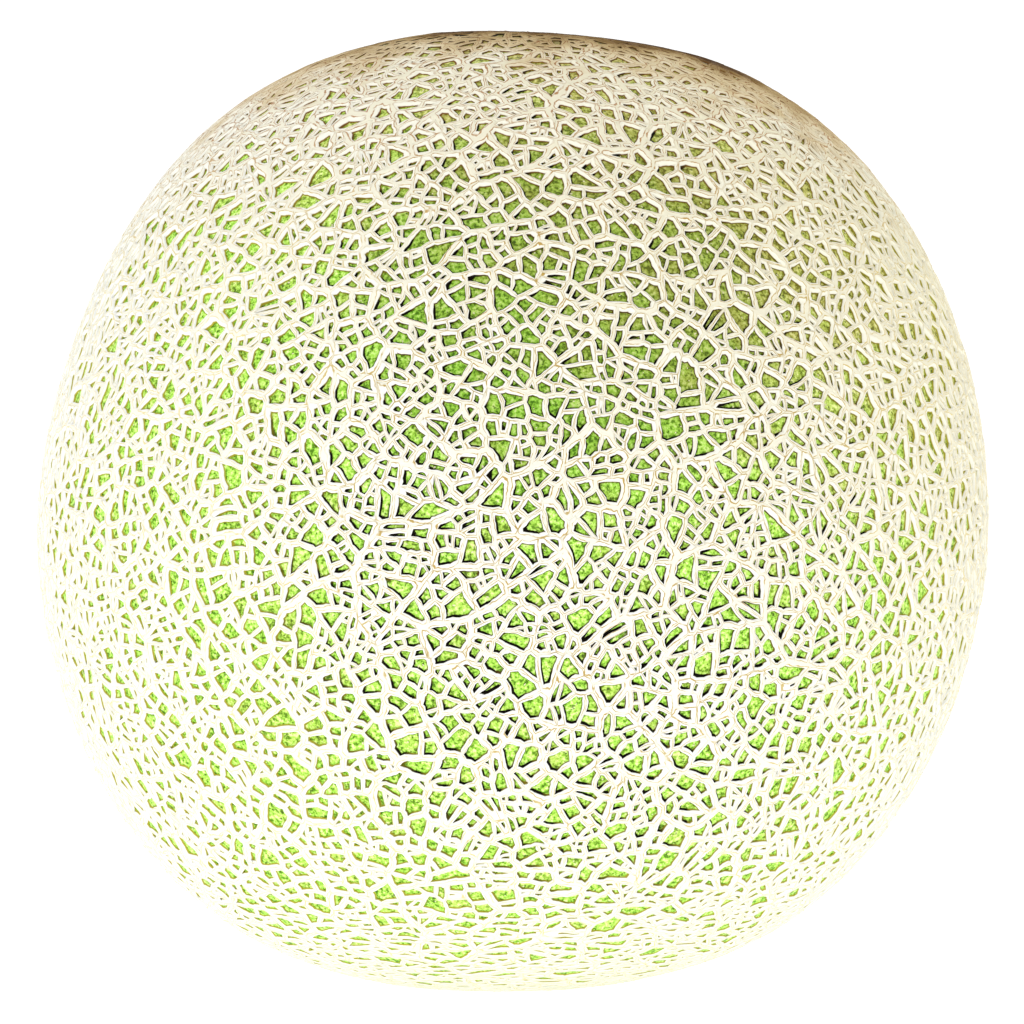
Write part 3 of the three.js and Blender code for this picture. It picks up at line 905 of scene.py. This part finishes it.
# ---- Cork flecks ---------------------------------------------
# Specks of cork that lie loose of the net in the wider meshes, where the skin only pricked open.
FLECK_SIZE = 0.14            # mm, half across
LEAST_FLECK, LARGEST_FLECK = (0.6, 0.5, 0.4), (2.2, 1.2, 0.8)    # of that, along, across and up
FLECK_DENSITY = 0.14         # per mm2 of open skin


def fleck_tree(material):
    """Strews flecks over a mesh, each lying flat and turned at random."""
    tree, given = growth_tree("strew_flecks", ("Density", "Size"))
    spots = add(tree, "GeometryNodeDistributePointsOnFaces",
                {"Mesh": given["Geometry"], "Density": given["Density"], "Seed": 4})
    fleck = add(tree, "GeometryNodeMeshIcoSphere", {"Radius": given["Size"], "Subdivisions": 1})
    sizes = add(tree, "FunctionNodeRandomValue",
                {0: LEAST_FLECK, 1: LARGEST_FLECK, "Seed": 5}, data_type="FLOAT_VECTOR")
    turn = add(tree, "FunctionNodeRandomValue", {2: 0.0, 3: 2 * math.pi, "Seed": 6})
    spin = add(tree, "FunctionNodeAxisAngleToRotation", {"Axis": (0.0, 0.0, 1.0), "Angle": turn})
    aim = add(tree, "FunctionNodeRotateRotation",
              {0: spots.outputs["Rotation"], 1: spin}, rotation_space="LOCAL")
    strewn = add(tree, "GeometryNodeInstanceOnPoints",
                 {"Points": spots, "Instance": fleck, "Rotation": aim, "Scale": sizes})
    finish_growth(tree, strewn, material)
    return tree


# Bare cork: matte cream dots that break up the green.
flat_cork, tree = new_material("cork_fleck")
finish_surface(tree, {"Base Color": "#CFC8A2", "Roughness": 0.8})
ends = np.cumsum([len(ring) for ring in open_skin])
meshes = [list(range(end - len(ring), end)) for ring, end in zip(open_skin, ends)]
open_points = skin_points(swayed(np.concatenate(open_skin), WANDER_WAVES, first_salt=40))
meshes = [mesh for mesh in meshes if open_points[mesh, 2].min() > MM]
flecks = plain_mesh("cork_flecks", open_points, meshes)
grown(flecks, fleck_tree(flat_cork), {"Density": FLECK_DENSITY / MM**2, "Size": FLECK_SIZE * MM})
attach(flecks, "root")

# ---- The stem scar -------------------------------------------
# A ripe melon slips off its stalk. What is left is a dish of torn, woody fibre with the stalk's
# core in its middle, inside a thick collar of brown cork that grew around the stalk.
SCAR_STEPS = 160             # points round a scar
STEM_PROFILE = [             # share of the scar's radius, mm above the top of the net
    (0.9, -3.9), (1.1, -0.9), (1.06, -0.4), (1.02, -0.15), (0.98, -0.05), (0.94, 0.0), (0.9, 0.0),
    (0.86, -0.05), (0.83, -0.2), (0.8, -0.5), (0.77, -1.0), (0.73, -1.5), (0.68, -1.85), (0.62, -2.1),
    (0.55, -2.3), (0.48, -2.45), (0.41, -2.55), (0.35, -2.5), (0.3, -2.1), (0.25, -1.85),
    (0.19, -1.8), (0.13, -1.95), (0.07, -2.1),
]
STEM_FOOT = -4.6             # mm, the lowest point, inside the rind
COLLAR_CREST = 0.9           # share of the scar's radius, as are the next two
COLLAR_HALF_WIDTH = 0.12
FIBRE_EDGE = 0.76
FIBRE_BUMPS = 0.16           # mm
COLLAR_BUMPS = 0.05          # mm
CRACK_DEPTH = 0.4            # mm, of the splits across the collar
WOBBLES = [(3, 1, 0.02), (7, 2, 0.012), (13, 0, 0.008)]    # waves round, phase, share of the radius


def scar_mesh(name, loops, shares, bottom, top):
    """A closed mesh: loops of points from the bottom up, and a point at each end."""
    count = len(loops[0])
    vertices = np.concatenate([*loops, [bottom], [top]])
    here = np.arange(count)
    there = (here + 1) % count
    faces = []
    for start in range(0, count * (len(loops) - 1), count):
        band = np.stack([here, there, there + count, here + count], 1) + start
        faces += band.tolist()
    last = count * (len(loops) - 1)
    faces += [[count * len(loops), b, a] for a, b in zip(here, there)]
    faces += [[last + a, last + b, count * len(loops) + 1] for a, b in zip(here, there)]
    piece = plain_mesh(name, vertices, faces)
    values = np.concatenate([np.repeat(shares, count), [shares[0], shares[-1]]])
    piece.data.attributes.new("share", "FLOAT", "POINT").data.foreach_set("value", values)
    return piece


def scar_material(name, fibre, collar_edge):
    """Dead corky tissue: a dull brown collar, cracked across, and darker torn fibres inside it."""
    material, tree = new_material(name)
    place = add(tree, "ShaderNodeTexCoord").outputs["Object"]
    share = add(tree, "ShaderNodeAttribute", attribute_name="share").outputs["Fac"]
    streaks = add(tree, "ShaderNodeTexNoise",
                  {"Vector": place, "Scale": 1 / (0.7 * MM), "Detail": 4.0, "Roughness": 0.7})
    inner = add(tree, "ShaderNodeValToRGB", {"Fac": streaks},
                stops=[(0.35, "#3E2912"), (0.5, fibre), (0.68, "#A88C5C")])
    outer = add(tree, "ShaderNodeValToRGB", {"Fac": streaks},
                stops=[(0.35, "#4E3A20"), (0.48, "#80643E"), (0.62, "#A88E64")])
    is_collar = add(tree, "ShaderNodeMapRange", (share, collar_edge - 0.04, collar_edge + 0.04))
    tint = add(tree, "ShaderNodeMix", {0: is_collar, 6: inner, 7: outer}, data_type="RGBA")
    finish_surface(tree, {"Base Color": tint, "Roughness": 0.85})
    return material


around = np.linspace(0, 2 * math.pi, SCAR_STEPS, endpoint=False)
wobble = sum(size * np.sin(count * around + phase) for count, phase, size in WOBBLES)
chance = np.random.default_rng(3)
cracks = CRACK_DEPTH * np.clip(4 * np.sin(17 * around + 2 * np.sin(3 * around)) - 3, 0, 1)


def stem_loop(share, height):
    polar = STEM_SCAR_ANGLE * share * (1 + wobble * min(1, 2 * share))
    ways = np.stack([np.sin(polar) * np.cos(around), np.sin(polar) * np.sin(around), np.cos(polar)], 1)
    collar = max(0, 1 - abs(share - COLLAR_CREST) / COLLAR_HALF_WIDTH)
    bumps = (FIBRE_BUMPS if share < FIBRE_EDGE else COLLAR_BUMPS) * chance.standard_normal(SCAR_STEPS)
    reach = crest_radius(ways) + (height - cracks * collar + bumps)
    return (reach[:, None] * ways + [0, 0, middle_height]) * MM


loops = [stem_loop(share, height) for share, height in STEM_PROFILE]
top_height = (crest_radius(np.array([[0.0, 0.0, 1.0]]))[0] + middle_height) * MM
foot, tip = ([0, 0, top_height + height * MM] for height in (STEM_FOOT, STEM_PROFILE[-1][1]))
stem_scar = scar_mesh("stem_scar", loops, [share for share, _ in STEM_PROFILE], foot, tip)
stem_scar.data.materials.append(scar_material("torn_stem_cork", "#6E5230", collar_edge=0.78))
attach(stem_scar, "root")

# ---- The blossom scar ----------------------------------------
# Where the flower dried and fell: a low button of ringed brown cork that the fruit rests on.
BLOSSOM_PROFILE = [          # share of the scar's radius, mm above the ground
    (0.06, 0.1), (0.16, 0.02), (0.26, 0.06), (0.34, 0.35), (0.46, 0.42), (0.55, 0.18), (0.62, 0.12),
    (0.7, 0.3), (0.78, 0.05), (0.88, 0.0), (0.98, 0.06), (1.08, 0.5), (1.04, 1.2),
]
BLOSSOM_BOTTOM, BLOSSOM_TOP = 0.12, 1.6     # mm above the ground, in the middle
BLOSSOM_WOBBLE = 1.5         # times the stem scar's


def blossom_loop(share, height):
    radius = BLOSSOM_SCAR_ANGLE * MEAN_RADIUS * share * (1 + BLOSSOM_WOBBLE * wobble)
    up = height + np.abs(COLLAR_BUMPS * chance.standard_normal(SCAR_STEPS)) * (share < 1)
    return np.stack([radius * np.cos(around), radius * np.sin(around), up], 1) * MM


loops = [blossom_loop(share, height) for share, height in BLOSSOM_PROFILE]
blossom_scar = scar_mesh("blossom_scar", loops, [share for share, _ in BLOSSOM_PROFILE],
                         [0, 0, BLOSSOM_BOTTOM * MM], [0, 0, BLOSSOM_TOP * MM])
blossom_scar.data.materials.append(scar_material("dried_flower_cork", "#7A5A30", collar_edge=0.66))
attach(blossom_scar, "root")

# ---- Floor, light and camera ---------------------------------
# A sweep of matte white paper in a white room that is brighter high on the left, with a weak key
# light from low in front.
FLOOR_REACH = 6              # m
floor_corners = FLOOR_REACH * np.array([[-1, -1, 0], [1, -1, 0], [1, 1, 0], [-1, 1, 0]])
floor = plain_mesh("floor", floor_corners, [[0, 1, 2, 3]])
# White paper: it glows a little, so that its edge doesn't show.
white, tree = new_material("white_sweep")
finish_surface(tree, {"Base Color": "#FFFFFF", "Roughness": 0.9, "Emission Color": "#FFFFFF",
                      "Emission Strength": 0.7})
floor.data.materials.append(white)
floor.visible_shadow = False     # the key light comes from under it

world = bpy.data.worlds.new("soft_room")
world.use_nodes = True
tree = world.node_tree
tree.nodes.clear()
way = add(tree, "ShaderNodeTexCoord").outputs["Generated"]
brightness = add(tree, "ShaderNodeVectorMath", (way, (-0.64, 0.0, 0.77)), operation="DOT_PRODUCT")
strength = add(tree, "ShaderNodeMapRange", (brightness, -1.0, 1.0, 0.93, 1.27))
background = add(tree, "ShaderNodeBackground", {"Color": "#FFFFFF", "Strength": strength})
add(tree, "ShaderNodeOutputWorld", {"Surface": background})
bpy.context.scene.world = world

sun = new_object("key_light", bpy.data.lights.new("key_light", "SUN"))
sun.data.energy = 0.6
sun.data.angle = math.radians(10)
towards = Vector((0.35, 1.0, 0.25))
sun.rotation_mode = "QUATERNION"
sun.rotation_quaternion = towards.to_track_quat("-Z", "Y")

CAMERA_DISTANCE = 0.95       # m, from the fruit's middle
FRUIT_SHARE = 953 / 1024     # of the picture's width
CAMERA_SHIFT = (-0.2 * MM, -0.4 * MM)    # across and up, from the middle of the fruit's box
SENSOR_WIDTH = 36            # mm
low, high = cad_box
camera = new_object("camera", bpy.data.cameras.new("camera"))
centre = [(a + b) / 2 for a, b in zip(low, high)]
camera.location = (centre[0] + CAMERA_SHIFT[0], centre[1] - CAMERA_DISTANCE, centre[2] + CAMERA_SHIFT[1])
camera.rotation_euler = (math.pi / 2, 0, 0)
half_angle = math.asin((high[0] - low[0]) / 2 / CAMERA_DISTANCE)
camera.data.sensor_width = SENSOR_WIDTH
camera.data.lens = SENSOR_WIDTH / 2 * FRUIT_SHARE / math.tan(half_angle)
bpy.context.scene.camera = camera
bpy.context.scene.view_settings.view_transform = "Standard"
